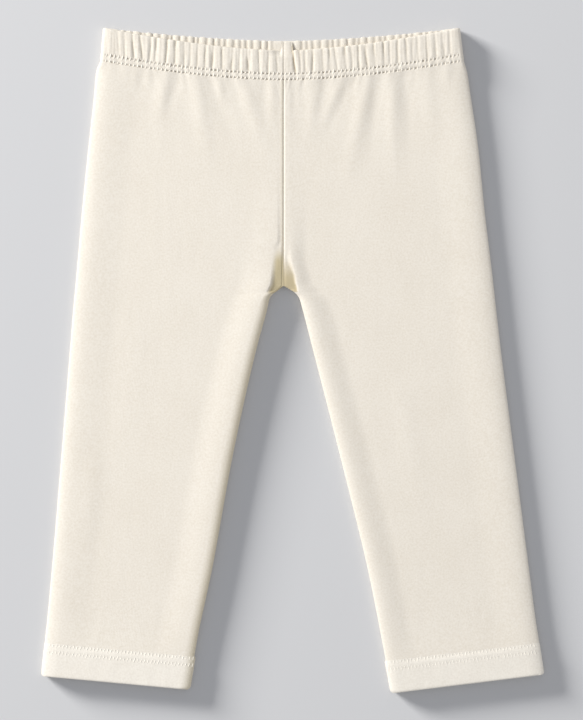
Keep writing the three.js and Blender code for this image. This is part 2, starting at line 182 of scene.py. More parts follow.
# The outline at each level: side_x, side_y, inner_x and inner_y.
OUTLINE = {
    Side.RIGHT: (
        (-108.7, 168.4, SEAM_X, 157.6), (-110.8, 163.0, SEAM_X, 152.6),
        (-112.3, 147.2, SEAM_X, 138.5), (-115.4, 118.9, SEAM_X, 114.0),
        (-118.8, 85.0, SEAM_X, 84.0), (-120.9, 61.0, SEAM_X, 59.0),
        (-122.2, 46.0, SEAM_X, 42.1), (-122.6, 42.0, -7.8, 39.8),
        (-123.0, 38.0, -10.6, 37.8), (-123.4, 34.0, -12.6, 35.3),
        (-124.0, 27.0, -14.2, 28.4), (-125.6, 7.0, -20.3, 5.9),
        (-130.1, -48.5, -32.9, -50.6), (-135.6, -114.5, -45.3, -118.4),
        (-138.5, -146.0, -52.7, -152.8), (-139.9, -159.1, -55.2, -166.8),
    ),
    Side.LEFT: (
        (96.7, 168.4, SEAM_X, 157.6), (98.3, 163.0, SEAM_X, 152.6),
        (100.7, 147.2, SEAM_X, 138.5), (104.8, 118.9, SEAM_X, 114.0),
        (108.2, 85.0, SEAM_X, 84.0), (111.1, 61.0, SEAM_X, 59.0),
        (112.9, 46.0, SEAM_X, 42.1), (113.3, 42.0, -2.4, 40.4),
        (113.8, 38.0, 0.7, 38.4), (114.2, 34.0, 3.3, 35.2),
        (115.0, 27.0, 5.3, 28.4), (117.3, 7.0, 11.1, 5.9),
        (124.4, -48.5, 25.6, -50.6), (132.9, -114.5, 42.2, -118.4),
        (137.1, -146.5, 49.2, -153.5), (139.1, -159.0, 52.2, -169.2),
    ),
}
BAND_EDGE = {Side.RIGHT: (-107.0, 187.8), Side.LEFT: (94.3, 187.8)}
HEM_EDGE = {Side.RIGHT: (-142.0, -178.0, -57.8, -185.6), Side.LEFT: (142.0, -177.1, 55.2, -187.6)}

# Soft folds of the front, which run down from the gathers, and a few shallow ones on the legs:
# from x, from y, to x, to y, height and width
FOLDS = tuple(Fold(*row) for row in (
    (-93.5, 166.0, -92.0, 154.0, 0.40, 1.9), (-88.0, 165.0, -90.5, 148.0, 0.50, 2.1),
    (-80.0, 165.0, -82.5, 150.0, 0.30, 2.0), (-71.8, 163.0, -76.0, 114.0, 0.80, 4.2),
    (-64.3, 160.0, -80.0, 118.0, -0.30, 3.0), (-54.7, 160.0, -46.0, 102.0, 0.80, 4.4),
    (-47.0, 158.0, -26.0, 106.0, -0.30, 3.2), (-41.7, 159.0, -40.0, 139.0, 0.50, 2.8),
    (-28.5, 158.0, -12.0, 108.0, 0.80, 4.2), (-16.8, 157.0, -14.5, 130.0, -0.28, 2.4),
    (-11.5, 158.0, -10.5, 120.0, 0.45, 2.4), (-0.5, 157.0, 1.0, 124.0, -0.35, 2.2),
    (12.0, 158.0, 9.0, 112.0, 0.80, 3.8), (18.8, 158.0, 16.0, 145.0, -0.28, 2.2),
    (27.5, 158.5, 12.5, 120.0, 0.75, 3.2), (33.0, 158.0, 12.0, 117.0, -0.30, 3.0),
    (43.0, 161.0, 28.0, 90.0, 0.95, 4.4), (47.6, 160.0, 41.0, 94.0, -0.34, 3.0),
    (56.2, 163.0, 56.8, 92.0, 0.95, 4.2), (64.0, 162.0, 67.0, 98.0, -0.30, 3.0),
    (74.5, 165.0, 81.0, 106.0, 0.70, 5.0), (86.0, 165.0, 88.0, 150.0, 0.30, 2.4),
    (-112.0, -60.0, -121.0, -140.0, 0.35, 6.0), (61.0, -20.0, 78.0, -110.0, 0.30, 7.0),
    (-88.0, 20.0, -96.0, -80.0, 0.20, 9.0), (96.0, 40.0, 108.0, -60.0, 0.22, 8.0),
))

# The creases of the casing, in the photo's order from the centre seam to the side: how far each
# is from the seam at the top and at the stitching, and how deep it is
CREASES = {
    Side.RIGHT: tuple(Crease(*row) for row in (
        (4.3, 3.1, 0.4), (8.3, 9.1, 0.55), (13.9, 13.5, 0.55), (20.4, 19.8, 1.0),
        (24.3, 25.5, 0.3), (28.7, 29.7, 0.9), (34.8, 34.5, 1.0), (39.6, 40.8, 1.0),
        (44.0, 44.6, 0.5), (48.6, 49.1, 0.7), (52.8, 52.8, 0.35), (56.2, 56.0, 0.5),
        (61.0, 62.1, 0.9), (65.9, 66.7, 0.8), (72.0, 73.0, 1.0), (75.2, 76.0, 0.4),
        (81.5, 79.2, 1.0), (85.7, 84.3, 0.7), (90.0, 89.9, 0.35), (94.3, 92.4, 0.8),
    )),
    Side.LEFT: tuple(Crease(*row) for row in (
        (5.0, 7.3, 2.3), (9.0, 10.2, 0.6), (12.2, 12.4, 0.4), (16.4, 16.6, 0.8),
        (22.1, 22.5, 0.5), (25.9, 26.9, 0.7), (28.7, 31.2, 0.5), (34.6, 35.8, 0.9),
        (38.1, 39.2, 0.3), (42.1, 43.3, 0.5), (46.1, 48.1, 0.7), (51.1, 52.5, 0.9),
        (56.8, 57.4, 0.9), (60.1, 60.4, 0.3), (64.7, 64.9, 0.9), (69.4, 70.1, 0.6),
        (72.6, 73.7, 0.4), (75.8, 76.6, 0.7), (81.1, 81.8, 0.6), (85.9, 86.7, 0.35),
        (90.3, 91.3, 0.35), (94.0, 94.8, 0.3),
    )),
}

# How far the cloth's colour goes to the warm painted shade in the notch above the crotch
NOTCH_SHADE = {Side.RIGHT: 0.72, Side.LEFT: 0.55}

# The low part of the front beside the seam, where the two legs part above the crotch: levels, and
# how wide it is at each of them
NOTCHES = {
    Side.RIGHT: ((4.6, 4.8, 5.0, 5.4, 6.0, 7.0, 8.0, 9.0), (0, 0.8, 1.5, 2.5, 4.0, 2.6, 0.4, 0)),
    Side.LEFT: ((5.0, 5.15, 5.3, 5.55, 6.0, 7.0, 8.0), (0, 0.4, 1.6, 3.7, 5.2, 2.9, 0)),
}

# The strip beside the centre seam in which the casing's front reaches up to the back's top edge
STRIP = {Side.RIGHT: 0.3, Side.LEFT: 4.8}
STRIP_EDGE = {Side.RIGHT: 1.6, Side.LEFT: 0.5}


def lerp(a: float, b: float, t: float) -> float:
    """Returns the value that is the share t of the way from a to b."""
    return a + (b - a) * t


def smooth(t: float) -> float:
    """Returns a soft step from 0 to 1 as t goes from 0 to 1."""
    t = min(1.0, max(0.0, t))
    return t * t * (3 - 2 * t)


def hump(away: float, width: float) -> float:
    """Returns a bell curve that is 1 where away is 0 and falls off over the width."""
    return math.exp(-((away / width) ** 2))


def uneven(x: float, y: float, z: float) -> float:
    """Returns smooth noise from about -1 to 1, the same for the same place each time."""
    return noise.noise(Vector((x, y, z)))


def slope(before: float, after: float) -> float:
    """Returns a curve's slope between two steps of it, which is flat where they turn back."""
    return 2 * before * after / (before + after) if before * after > 0 else 0.0


def through(a: float, b: float, c: float, d: float, t: float) -> float:
    """Returns a value on the smooth curve through four numbers, between the middle two.

    The curve never swings past the numbers that it joins.

    Args:
        a: The number before the stretch.
        b: The number where the stretch starts.
        c: The number where it ends.
        d: The number after it.
        t: The share of the way from b to c.
    """
    rise, leave = slope(b - a, c - b), slope(c - b, d - c)
    cube = 2 * b - 2 * c + rise + leave
    square = -3 * b + 3 * c - 2 * rise - leave
    return cube * t**3 + square * t**2 + rise * t + b


@cache
def drawn(creases: tuple[Crease, ...], up: float) -> tuple[list[float], list[float]]:
    """Returns where each crease is, and how deep, as they wander and fade over the casing's depth.

    Args:
        creases: The creases, from the seam outwards.
        up: The share of the way from the stitching to the top.
    """
    places, depths = [], []
    for k, crease in enumerate(creases):
        wander = uneven(crease.at_top * 1.7, 2.2 * up, 1.0 + k)
        fade = uneven(crease.at_top * 2.9, 1.5 * up, 40.0 + k)
        places.append(lerp(crease.at_stitching, crease.at_top, up) + 0.35 * wander)
        kept = min(1.15, max(0.1, 0.7 + 1.7 * fade))
        depths.append(crease.depth * (kept if crease.depth < 1.1 else 1.0))
    return places, depths


def shares(number: int) -> list[float]:
    """Returns evenly spaced shares from 0 up to, but not at, 1."""
    return [k / number for k in range(number)]


@dataclass
class Pattern:
    """The shape in which one side of the leggings lies.

    Attributes:
        side: Which side it is.
        side_rise: From the top of the side fold to the crest beside it.
        side_settle: From that crest down to where the front lies on the back.
    """

    side: Side
    side_rise: float = 6.5
    side_settle: float = 18.0

    def section(self, level: float) -> Section:
        """Returns the section at a level, which is a row number with its share of the next.

        Near the crotch the two sides differ: on the right the crest is higher and comes down
        slowly, and on the left it is short and the front's edge rises with it above the notch.
        """
        first = min(int(level), len(PROFILE) - 2)
        four_rows = self.rows[first : first + 4]
        section = Section(*(through(*four, level - first) for four in zip(*four_rows)))
        notch = float(numpy.interp(level, *NOTCHES[self.side]))
        section = section._replace(notch=notch, side_round=smooth(level / 1.5),
                                   inner_round=smooth(level - CROTCH - 1))
        if level <= CROTCH:
            section = section._replace(inner_x=SEAM_X + self.side.sign * SEAM_GAP / 2)
        if self.side is Side.RIGHT:
            low, glow = smooth(notch / 0.8), smooth(level - CROTCH) * smooth((14 - level) / 3)
            raised = 0.45 * glow - 0.3 * low + 0.6 * hump(level - 5.6, 1.1)
            return section._replace(inner_crest=section.inner_crest + raised, settle=18.0,
                                    inner_rise=section.inner_rise + 1.8 * low)
        near = hump(level - 5.1, 0.6)
        crest = section.inner_crest + 0.65 * near
        edge = section.edge
        if level < CROTCH:
            edge = lerp(crest - 0.1, edge, smooth((level - 4.7) / 0.5))
        return section._replace(inner_crest=crest, inner_rise=section.inner_rise + 1.2 * near,
                                settle=12.5 - 4.5 * hump(level - 5.2, 1.0), edge=edge)

    @cached_property
    def rows(self) -> list[tuple[float, ...]]:
        """Returns the numbers of each level, with a row carried on past each end."""
        rows = [heights + ends for heights, ends in zip(PROFILE, OUTLINE[self.side])]
        above = tuple(2 * a - b for a, b in zip(rows[0], rows[1]))
        below = tuple(2 * a - b for a, b in zip(rows[-1], rows[-2]))
        return [above, *rows, below]

    @staticmethod
    def span(section: Section) -> float:
        """Returns the distance from the inner end of a section to its side."""
        return math.hypot(section.side_x - section.inner_x, section.side_y - section.inner_y)

    def plan(self, section: Section, inward: float, is_back: bool) -> tuple[float, float]:
        """Returns where a point of a section lies in plan.

        Args:
            section: The section that the point is on.
            inward: Its distance from the inner end.
            is_back: Whether it is on the back, which is cut higher.
        """
        share = inward / self.span(section)
        inner_y = section.inner_y + (section.back_rise if is_back else 0)
        x = lerp(section.inner_x, section.side_x, share)
        bowed = 1 - min(1.0, max(0.0, share)) ** section.bow
        return x, lerp(section.side_y, inner_y, bowed)

    @staticmethod
    def brow(from_edge: float, half: float, rise: float, crest: float) -> float:
        """Returns the height of a fold's outer face, one round curve from its edge to its crest."""
        way = 1 - min(1.0, from_edge / (half + rise))
        return half + (crest - half) * math.sqrt(1 - way**2)

    def side_arc(self, section: Section, share: float, wall: float = 0.0) -> tuple[float, float]:
        """Returns a point of the round fold at the side: its distance inwards, and its height.

        Args:
            section: The section that the point is on.
            share: The share of the way round, from the front to the back.
            wall: The share of the way through the cloth, from its outer face.
        """
        fold, angle = section.side / 2, math.pi / 2 - share * math.pi
        radius, out = fold - min(DOUBLE, fold - LAYER_GAP / 2) * wall, math.cos(angle)
        height = fold + radius * math.sin(angle)
        if share < 0.5:
            rounded = self.brow(fold * (1 - out), fold, self.side_rise, section.side_crest)
            height = lerp(height, rounded, section.side_round * (1 - wall))
        return self.span(section) - fold + radius * out, height

    def front_height(self, section: Section, inward: float, edge_width: float) -> float:
        """Returns the height of the front's face, with no folds on it.

        Args:
            section: The section that the point is on.
            inward: Its distance from the inner end.
            edge_width: How much of the section its inner edge takes up.
        """
        from_side = self.span(section) - inward
        foot = edge_width + section.notch
        inner_top = foot + section.inner_rise
        side_top = section.side / 2 + self.side_rise
        if inward < inner_top:
            low = section.edge + 0.8 * min(1.0, inward / foot) * smooth(section.notch / 3)
            stepped = lerp(low, section.inner_crest, smooth((inward - foot) / section.inner_rise))
            rounded = self.brow(inward, section.edge / 2, section.inner_rise, section.inner_crest)
            return lerp(stepped, rounded, section.inner_round)
        if from_side < side_top:
            step = smooth((from_side - section.side / 2) / self.side_rise)
            stepped = lerp(section.side, section.side_crest, step)
            rounded = self.brow(from_side, section.side / 2, self.side_rise, section.side_crest)
            return lerp(stepped, rounded, section.side_round)
        inner = 1 - smooth((inward - inner_top) / section.settle)
        outer = 1 - smooth((from_side - side_top) / self.side_settle)
        over = (section.inner_crest - section.rest) * inner
        return section.rest + over + (section.side_crest - section.rest) * outer

    def seam_relief(self, inward: float) -> float:
        """Returns the groove of the centre seam and the ridge of the allowance pressed under it."""
        groove = -0.30 * hump(inward, 0.4)
        if self.side is Side.LEFT:
            return groove + 0.42 * (1 - hump(inward, 0.8)) * math.exp(-inward / 4.5)
        return groove + 0.08 * hump(inward - 1.2, 0.9)

    def seam_shade(self, inward: float) -> float:
        """Returns how dark the painted shade in the seam's groove is, from 0 to 1."""
        return 0.26 * hump(inward, 0.32)

    def edge_shade(self, inward: float) -> float:
        """Returns how warm the shade on the inner edge is, which faces away from the light."""
        return 0.45 * hump(inward, 3.6) if self.side is Side.RIGHT else 0.0

    def pucker(self, inward: float, below: float) -> float:
        """Returns the small puckers that the elastic makes round the casing's stitching.

        Args:
            inward: The distance from the centre seam.
            below: The distance below the casing's lower edge, negative on the casing.
        """
        seed = 5.0 * self.side.sign
        fade = math.exp(-below / 6.5) if below > 0 else math.exp(below / 5)
        drawn = uneven(inward / 2.1 + 0.12 * below, below / 16, seed)
        return 0.46 * drawn * fade

    def front_relief(self, section: Section, inward: float, below: float) -> float:
        """Returns the folds, the puckers and the seam, which run on past the casing's edge.

        Args:
            section: The section that the point is on.
            inward: Its distance from the centre seam.
            below: Its distance below the casing's lower edge, negative on the casing.
        """
        x, y = self.plan(section, inward, False)
        from_side = self.span(section) - inward
        mask = smooth((inward - 1.5) / 7) * smooth((from_side - 3.0) / 6)
        folds = self.soft_folds(x, y) * mask * math.exp(min(0.0, below) / 3)
        return folds + self.pucker(inward, below) * smooth((from_side - 2) / 4)

    def soft_folds(self, x: float, y: float) -> float:
        """Returns what the soft folds, and the cloth's slight unevenness, add to the front."""
        total = 0.0
        for fold in FOLDS:
            run_x, run_y = fold.to_x - fold.from_x, fold.to_y - fold.from_y
            along = ((x - fold.from_x) * run_x + (y - fold.from_y) * run_y) / (run_x**2 + run_y**2)
            t = min(1.0, max(0.0, along))
            away = math.hypot(x - fold.from_x - t * run_x, y - fold.from_y - t * run_y)
            if away < 3 * fold.width:
                swell = lerp(0.65, 1.0, smooth(4 * t)) * (1 - smooth(t))
                total += fold.height * swell * hump(away, fold.width)
        total += 0.06 * uneven(x / 20, y / 46, 3.0)
        return total + 0.035 * uneven(x / 4, y / 12, 9.0)


def grid_mesh(rows: Rows, centre: int) -> tuple[Mesh, Places]:
    """Makes a grid and moves it on to rows of points, with a UV map of the cloth in metres.

    Args:
        rows: The points in millimetres, row by row down the leg.
        centre: The column from which the UV map counts across the leg.

    Returns:
        The mesh in metres, and the row and column of each of its vertices.
    """
    across, down = len(rows[0]), len(rows)
    mesh = bmesh.new()
    bmesh.ops.create_grid(mesh, x_segments=across - 1, y_segments=down - 1, size=0.5)
    places = []
    for vert in mesh.verts:
        column = round((vert.co.x + 0.5) * (across - 1))
        row = round((vert.co.y + 0.5) * (down - 1))
        places.append((row, column))
        vert.co = rows[row][column] * MM
    along = []
    for row in rows:
        steps = [0.0]
        for a, b in zip(row, row[1:]):
            steps.append(steps[-1] + (b - a).length)
        along.append([step - steps[centre] for step in steps])
    layer = mesh.loops.layers.uv.new("cloth")
    mesh.verts.index_update()
    for loop in (loop for face in mesh.faces for loop in face.loops):
        row, column = places[loop.vert.index]
        loop[layer].uv = (along[row][column] * MM, rows[row][column].y * MM)
    return mesh, places


def finish_mesh(mesh: Mesh, name: str, material: Material) -> Object:
    """Turns a mesh into an object at the origin, smooth but for its sharp edges, and frees it."""
    for face in mesh.faces:
        face.smooth = True
    for edge in mesh.edges:
        edge.smooth = len(edge.link_faces) == 2 and edge.calc_face_angle(0.0) < SHARP
    data = bpy.data.meshes.new(name)
    mesh.to_mesh(data)
    mesh.free()
    data.materials.append(material)
    piece = bpy.data.objects.new(name, data)
    bpy.context.scene.collection.objects.link(piece)
    return piece


@dataclass
class Leg:
    """One leg: a panel folded at the side, open above the crotch and joined at the inseam below.

    Attributes:
        pattern: The shape in which this side lies.
        row_pitch: The distance between rows of the mesh down the leg.
        fine_pitch: The same, round the crotch.
        flat: The width and length of the rectangle that the panel is cut from.
        flat_area: The area of the panel as cut, in square millimetres.
    """

    pattern: Pattern
    row_pitch: float = 1.9
    fine_pitch: float = 0.8
    flat: tuple[float, float] = (240.0, 338.0)
    flat_area: float = 67500.0

    @cached_property
    def columns(self) -> list[Column]:
        """Returns the columns of the mesh along a section."""
        columns = [(stretch, share) for stretch, number in LEG_COLUMNS.items()
                   for share in shares(number)]
        return columns + [(Stretch.BACK_EDGE, 1.0)]

    @cached_property
    def levels(self) -> list[float]:
        """Returns the level of each row, close together round the crotch."""
        levels = []
        for first in range(len(PROFILE) - 1):
            a, b = self.pattern.section(first), self.pattern.section(first + 0.999)
            length = math.hypot(a.side_x - b.side_x, a.side_y - b.side_y)
            pitch = self.fine_pitch if first in FINE_LEVELS else self.row_pitch
            levels += [first + share for share in shares(max(4, round(length / pitch)))]
        return levels + [float(len(PROFILE) - 1)]

    def spot(self, section: Section, closed: bool, stretch: Stretch, share: float) -> Spot:
        """Returns one point of a section.

        Args:
            section: The section.
            closed: Whether the front and back meet at the inseam there.
            stretch: Which stretch the point is on.
            share: The share of the way along that stretch.
        """
        pattern, span = self.pattern, self.pattern.span(section)
        radius, fold = section.edge / 2, section.side / 2
        edge_width = radius if closed else STACK / 2
        is_back = stretch is Stretch.BACK_EDGE
        if is_back or stretch is Stretch.FRONT_EDGE:
            turn = 1 - share if is_back else share
            if not closed:
                return Spot(edge_width * turn, 0.0 if is_back else section.edge, is_back)
            angle = turn * math.pi / 2
            apart = SEAM_GAP / 2 * (1 - turn)
            inward = radius * (1 - math.cos(angle))
            height = radius + (-1 if is_back else 1) * (radius * math.sin(angle) + apart)
            if not is_back:
                rounded = pattern.brow(inward, radius, section.inner_rise, section.inner_crest)
                height = lerp(height, rounded + apart, section.inner_round)
            tuck = 0.35 * (1 - smooth(turn * 2.2))
            return Spot(inward + tuck, height, is_back)
        if stretch is Stretch.SIDE_ARC:
            return Spot(*pattern.side_arc(section, share), share > 0.5)
        if stretch is Stretch.UNDER:
            return Spot(lerp(span - fold, edge_width, share), 0.0, True)
        crest = edge_width + section.notch + section.inner_rise
        side = span - fold - pattern.side_rise
        ends = (0.0, edge_width, crest, crest + section.settle, side - pattern.side_settle, side,
                span - fold)
        inward = lerp(ends[stretch.value - 1], ends[stretch.value], share)
        return Spot(inward, pattern.front_height(section, inward, edge_width), False)

    def row(self, level: float) -> list[Vector]:
        """Returns the points of the leg's outer face at one level."""
        pattern, section = self.pattern, self.pattern.section(level)
        waist = pattern.section(0.0)
        seam_part = 1 - 0.7 * smooth((level - 4.9) / 0.5)
        seam_part -= 0.3 * smooth((level - CROTCH + 0.4) / 0.4)
        points = []
        for stretch, share in self.columns:
            spot = self.spot(section, level > CROTCH, stretch, share)
            x, y = pattern.plan(section, spot.inward, spot.is_back)
            z = spot.height
            if not spot.is_back and stretch is not Stretch.SIDE_ARC:
                top = pattern.plan(waist, min(spot.inward, pattern.span(waist)), False)[1]
                z += pattern.front_relief(section, spot.inward, max(0.0, top - y))
                z += pattern.seam_relief(spot.inward) * seam_part
            points.append(Vector((x, y, z)))
        return points

    def rows(self) -> Rows:
        """Returns the points row by row, from the waist down.

        The front and the back come together at the inseam over one level below the seam's end.
        """
        opened, joined = self.row(CROTCH), self.row(CROTCH + 1)
        rows = []
        for level in self.levels:
            share = level - CROTCH
            if 0 < share < 1:
                rows.append([a.lerp(b, share) for a, b in zip(opened, joined)])
            else:
                rows.append(self.row(level))
        return rows

    def mark(self, mesh: Mesh, places: Places) -> None:
        """Stores each vertex's painted shade from how deep it is in the centre seam and the notch
        above the crotch.
        """
        seam = mesh.verts.layers.float.new("painted_recess_shade")
        warm = mesh.verts.layers.float.new("warm_shade")
        pattern, is_right = self.pattern, self.pattern.side is Side.RIGHT
        sections = [pattern.section(level) for level in self.levels]
        for vert, (row, column) in zip(mesh.verts, places):
            stretch, share = self.columns[column]
            section, level = sections[row], self.levels[row]
            if stretch not in (Stretch.FRONT_EDGE, Stretch.RISE):
                continue
            inward = self.spot(section, level > CROTCH, stretch, share).inward
            vert[warm] = pattern.edge_shade(inward) * smooth(level - CROTCH)
            if level > CROTCH + 3:
                continue
            # Painted shade in the seam's groove, fading out above the notch
            vert[seam] = pattern.seam_shade(inward) * (1 - 0.8 * smooth((level - 4.9) / 0.5))
            # On the right, a painted warm shade beside the seam's groove
            if is_right and level < CROTCH:
                vert[warm] = 0.18 * hump(inward - 0.8, 0.9)
            if section.notch == 0:
                continue
            # Painted warm shade down in the notch; on the left, painted dark shade over it as well
            inside = 1 - smooth((inward - section.notch - STACK / 2) / section.inner_rise)
            near = inside * smooth((level - 4.7) / 0.5) * (1 - smooth((level - 7.6) / 1.4))
            if not is_right:
                near *= smooth((level - 4.9) / 0.8)
                vert[seam] = max(vert[seam], 0.5 * near)
            vert[warm] = max(vert[warm], NOTCH_SHADE[pattern.side] * near)

    def build(self, finish: Finish) -> Object:
        mesh, places = grid_mesh(self.rows(), self.columns.index((Stretch.SIDE_ARC, 0.5)))
        self.mark(mesh, places)
        turn_outwards(mesh)
        name = f"leg_{self.pattern.side.value}"
        piece = finish_mesh(mesh, f"{name}_jersey", finish.material())
        wall = piece.modifiers.new("wall", "SOLIDIFY")
        wall.thickness, wall.offset = CLOTH * MM, -1.0
        return declare(piece, name, self.flat)


def turn_outwards(mesh: Mesh) -> None:
    """Turns the faces of an open sheet so that the front's face looks up."""
    mesh.normal_update()
    front = [face for face in mesh.faces if face.calc_center_median().z > STACK * MM]
    if sum(face.normal.z * face.calc_area() for face in front) < 0:
        bmesh.ops.reverse_faces(mesh, faces=mesh.faces[:])
    mesh.normal_update()


def declare(piece: Object, node: str, flat: tuple[float, float]) -> Object:
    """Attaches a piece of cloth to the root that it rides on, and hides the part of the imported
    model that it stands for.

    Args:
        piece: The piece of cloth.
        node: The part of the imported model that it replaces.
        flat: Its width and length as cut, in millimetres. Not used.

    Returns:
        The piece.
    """
    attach(piece, "root")
    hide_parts(node)
    return piece


@dataclass
class TurnedBand:
    """A band of cloth turned double along one edge and sewn with two rows of coverstitch.

    Each kind gives its ends, the sections at its sewn edge and at its turned edge, and its flat
    size: the width all round, and the depth, that it was cut to.

    Attributes:
        pattern: The shape in which this side lies.
        pitch: The length of a stitch.
        stitch_rows: The distance of each row of stitches from the band's sewn edge.
        per_stitch: How many columns of the front's mesh there are to a stitch.
        thread: The radius of the thread.
        reach: How far a stitch reaches on each side of its row.
        slant: How far along its row a stitch leans over that reach.
        groove: How deep the rows of stitches lie.
        hole_depth: How open the needle holes are, from 0 to 1, in their depth and their painted
            shade.
    """

    pattern: Pattern
    pitch: float = 2.25
    stitch_rows: tuple[float, float] = (0.8, 4.3)
    per_stitch: int = 5
    thread: float = 0.23
    reach: float = 1.35
    slant: float = 0.10
    groove: float = 0.20
    hole_depth: float = 1.0

    @cached_property
    def depth(self) -> float:
        """Returns the distance from the sewn edge to the turned edge, at the side."""
        sewn, turned = self.ends
        return math.hypot(turned.side_x - sewn.side_x, turned.side_y - sewn.side_y)

    def section(self, away: float) -> Section:
        """Returns the section at a distance from the sewn edge."""
        sewn, turned = self.ends
        full = smooth(away / 3.5)  # the band is thicker from just beside its sewn edge on
        between = Section(*(lerp(a, b, away / self.depth) for a, b in zip(sewn, turned)))
        names = ("side", "side_crest", "rest", "inner_crest", "edge")
        heights = {name: lerp(getattr(sewn, name), BAND_TOP, full) for name in names}
        return between._replace(**heights)

    @cached_property
    def stitches(self) -> int:
        """Returns the number of stitches in a row across the front."""
        section = self.section(self.stitch_rows[0])
        return round((self.pattern.span(section) - BAND_TOP / 2) / self.pitch)

    def hole(self, share: float, away: float) -> float:
        """Returns how near a point is to a needle hole, from 0 to 1."""
        phase = share * self.stitches
        along = (phase - round(phase)) * self.pitch
        drawn_in = uneven(round(phase) * 0.83, self.pitch, 6.0 * self.pattern.side.sign)
        near = max(hump(along, 0.42) * hump(away - row, 0.42) for row in self.stitch_rows)
        return near * self.hole_depth * min(1.0, max(0.15, 0.6 + 1.1 * drawn_in))

    def relief(self, section: Section, inward: float, share: float, away: float) -> float:
        """Returns what the gathers and the stitching add to the front's face."""
        sunk = max(hump(away - row, 0.75) for row in self.stitch_rows)
        return -self.groove * sunk * smooth(away / 0.8) - 0.35 * self.hole(share, away)

    def without_gathers(self, *place: float) -> float:
        """Returns 0, as a band that isn't gathered adds nothing for its gathers."""
        return 0.0

    edge_wave = inside_relief = crease_shade = without_gathers

    def columns(self) -> list[Column]:
        """Returns the columns of the mesh along a section."""
        columns = [(Stretch.MIDDLE, share) for share in shares(self.per_stitch * self.stitches)]
        columns += [(Stretch.SIDE_ARC, share) for share in shares(12)]
        columns += [(Stretch.UNDER, share) for share in shares(3 * self.stitches)]
        return columns + [(Stretch.UNDER, 1.0)]

    def mesh_rows(self) -> list[tuple[float, float]]:
        """Returns the distance from the sewn edge, and the share of the wall, of each row."""
        roll = DOUBLE / 2
        flat_end, fine_end = self.depth - roll, self.stitch_rows[1] + 1.6
        coarse = shares(round((flat_end - fine_end) / 0.9))
        rows = [(fine_end * share, 0.0) for share in shares(round(fine_end / 0.32))]
        rows += [(lerp(fine_end, flat_end, share), 0.0) for share in coarse]
        for angle in (math.pi * k / 8 for k in range(9)):
            rows.append((flat_end + roll * math.sin(angle), (1 - math.cos(angle)) / 2))
        return rows + [(lerp(flat_end, 0.0, k / 10), 1.0) for k in range(1, 11)]

    def point(self, section: Section, stretch: Stretch, share: float, away: float,
              wall: float) -> Vector:
        """Returns a point of the band.

        Args:
            section: The section that it is on.
            stretch: MIDDLE for the front, SIDE_ARC for the fold or UNDER for the back.
            share: The share of the way along that stretch, from the front's edge to the back's.
            away: The distance from the sewn edge.
            wall: The share of the way through the wall, from the outer face to the inner one.
        """
        pattern = self.pattern
        if stretch is Stretch.SIDE_ARC:
            inward, height = pattern.side_arc(section, share, wall)
            return Vector((*pattern.plan(section, inward, share > 0.5), height))
        is_back = stretch is Stretch.UNDER
        way = 1 - share if is_back else share
        inward = way * (pattern.span(section) - section.side / 2)
        x, y = pattern.plan(section, inward, is_back)
        y += self.edge_wave(inward, is_back) * smooth((away / self.depth - 0.75) / 0.25)
        height = self.face(section, inward, way, away, is_back)
        if wall > 0:
            inside = DOUBLE if is_back else DOUBLE + LAYER_GAP
            height = lerp(height, inside + self.inside_relief(inward, away, is_back), wall)
        return Vector((x, y, height))

    def face(self, section: Section, inward: float, way: float, away: float,
             is_back: bool) -> float:
        """Returns the height of the outer face, with the arguments of point() and relief()."""
        if is_back:
            return 0.0
        height = self.pattern.front_height(section, inward, STACK / 2)
        return height + self.relief(section, inward, way, away)

    def build(self, finish: Finish, thread: Finish) -> Object:
        columns, mesh_rows = self.columns(), self.mesh_rows()
        rows = []
        for away, wall in mesh_rows:
            section = self.section(away)
            rows.append([self.point(section, *column, away, wall) for column in columns])
        mesh, places = grid_mesh(rows, columns.index((Stretch.SIDE_ARC, 0.5)))
        self.mark(mesh, places, columns, mesh_rows)
        self.close(mesh, places, len(rows))
        name = f"{self.name}_{self.pattern.side.value}"
        piece = finish_mesh(mesh, f"{name}_jersey", finish.material())
        sewing = self.sew(thread, f"{name}_stitches")
        return declare(piece, name, self.flat())

    def mark(self, mesh: Mesh, places: Places, columns: Sequence[Column],
             mesh_rows: Sequence[tuple[float, float]]) -> None:
        """Stores each vertex's painted shade, from how near it is to a needle hole and how deep in
        a crease it is.
        """
        holes = mesh.verts.layers.float.new("painted_recess_shade")
        warm = mesh.verts.layers.float.new("warm_shade")
        sections = [self.section(away) for away, _ in mesh_rows]
        for vert, (row, column) in zip(mesh.verts, places):
            (stretch, share), (away, wall) = columns[column], mesh_rows[row]
            reach = self.pattern.span(sections[row]) - sections[row].side / 2
            if stretch is Stretch.MIDDLE and wall < 0.5:
                hole = self.hole(share, away) if wall == 0 else 0.0
                vert[holes], vert[warm] = self.shades(share * reach, away, hole)
            # Painted shade down the creases of the back's inside, where it shows above the front
            elif stretch is Stretch.UNDER and wall > 0.5:
                vert[holes] = self.crease_shade((1 - share) * reach, away, True)

    def shades(self, inward: float, away: float, hole: float) -> tuple[float, float]:
        """Returns the painted shade of a point of the front: how dark, and how warm.

        Args:
            inward: Its distance from the inner end.
            away: Its distance from the sewn edge.
            hole: How near it is to a needle hole.
        """
        return hole, self.pattern.edge_shade(inward)

    @staticmethod
    def close(mesh: Mesh, places: Places, down: int) -> None:
        """Joins the outer face to the inner one at the sewn edge, and closes the two cut ends."""
        mesh.verts.index_update()
        edges = []
        for edge in mesh.edges:
            (row_a, _), (row_b, _) = (places[v.index] for v in edge.verts)
            if row_a == row_b and row_a in (0, down - 1):
                edges.append(edge)
        bmesh.ops.bridge_loops(mesh, edges=edges)
        bmesh.ops.holes_fill(mesh, edges=[e for e in mesh.edges if e.is_boundary], sides=0)
        bmesh.ops.recalc_face_normals(mesh, faces=mesh.faces[:])

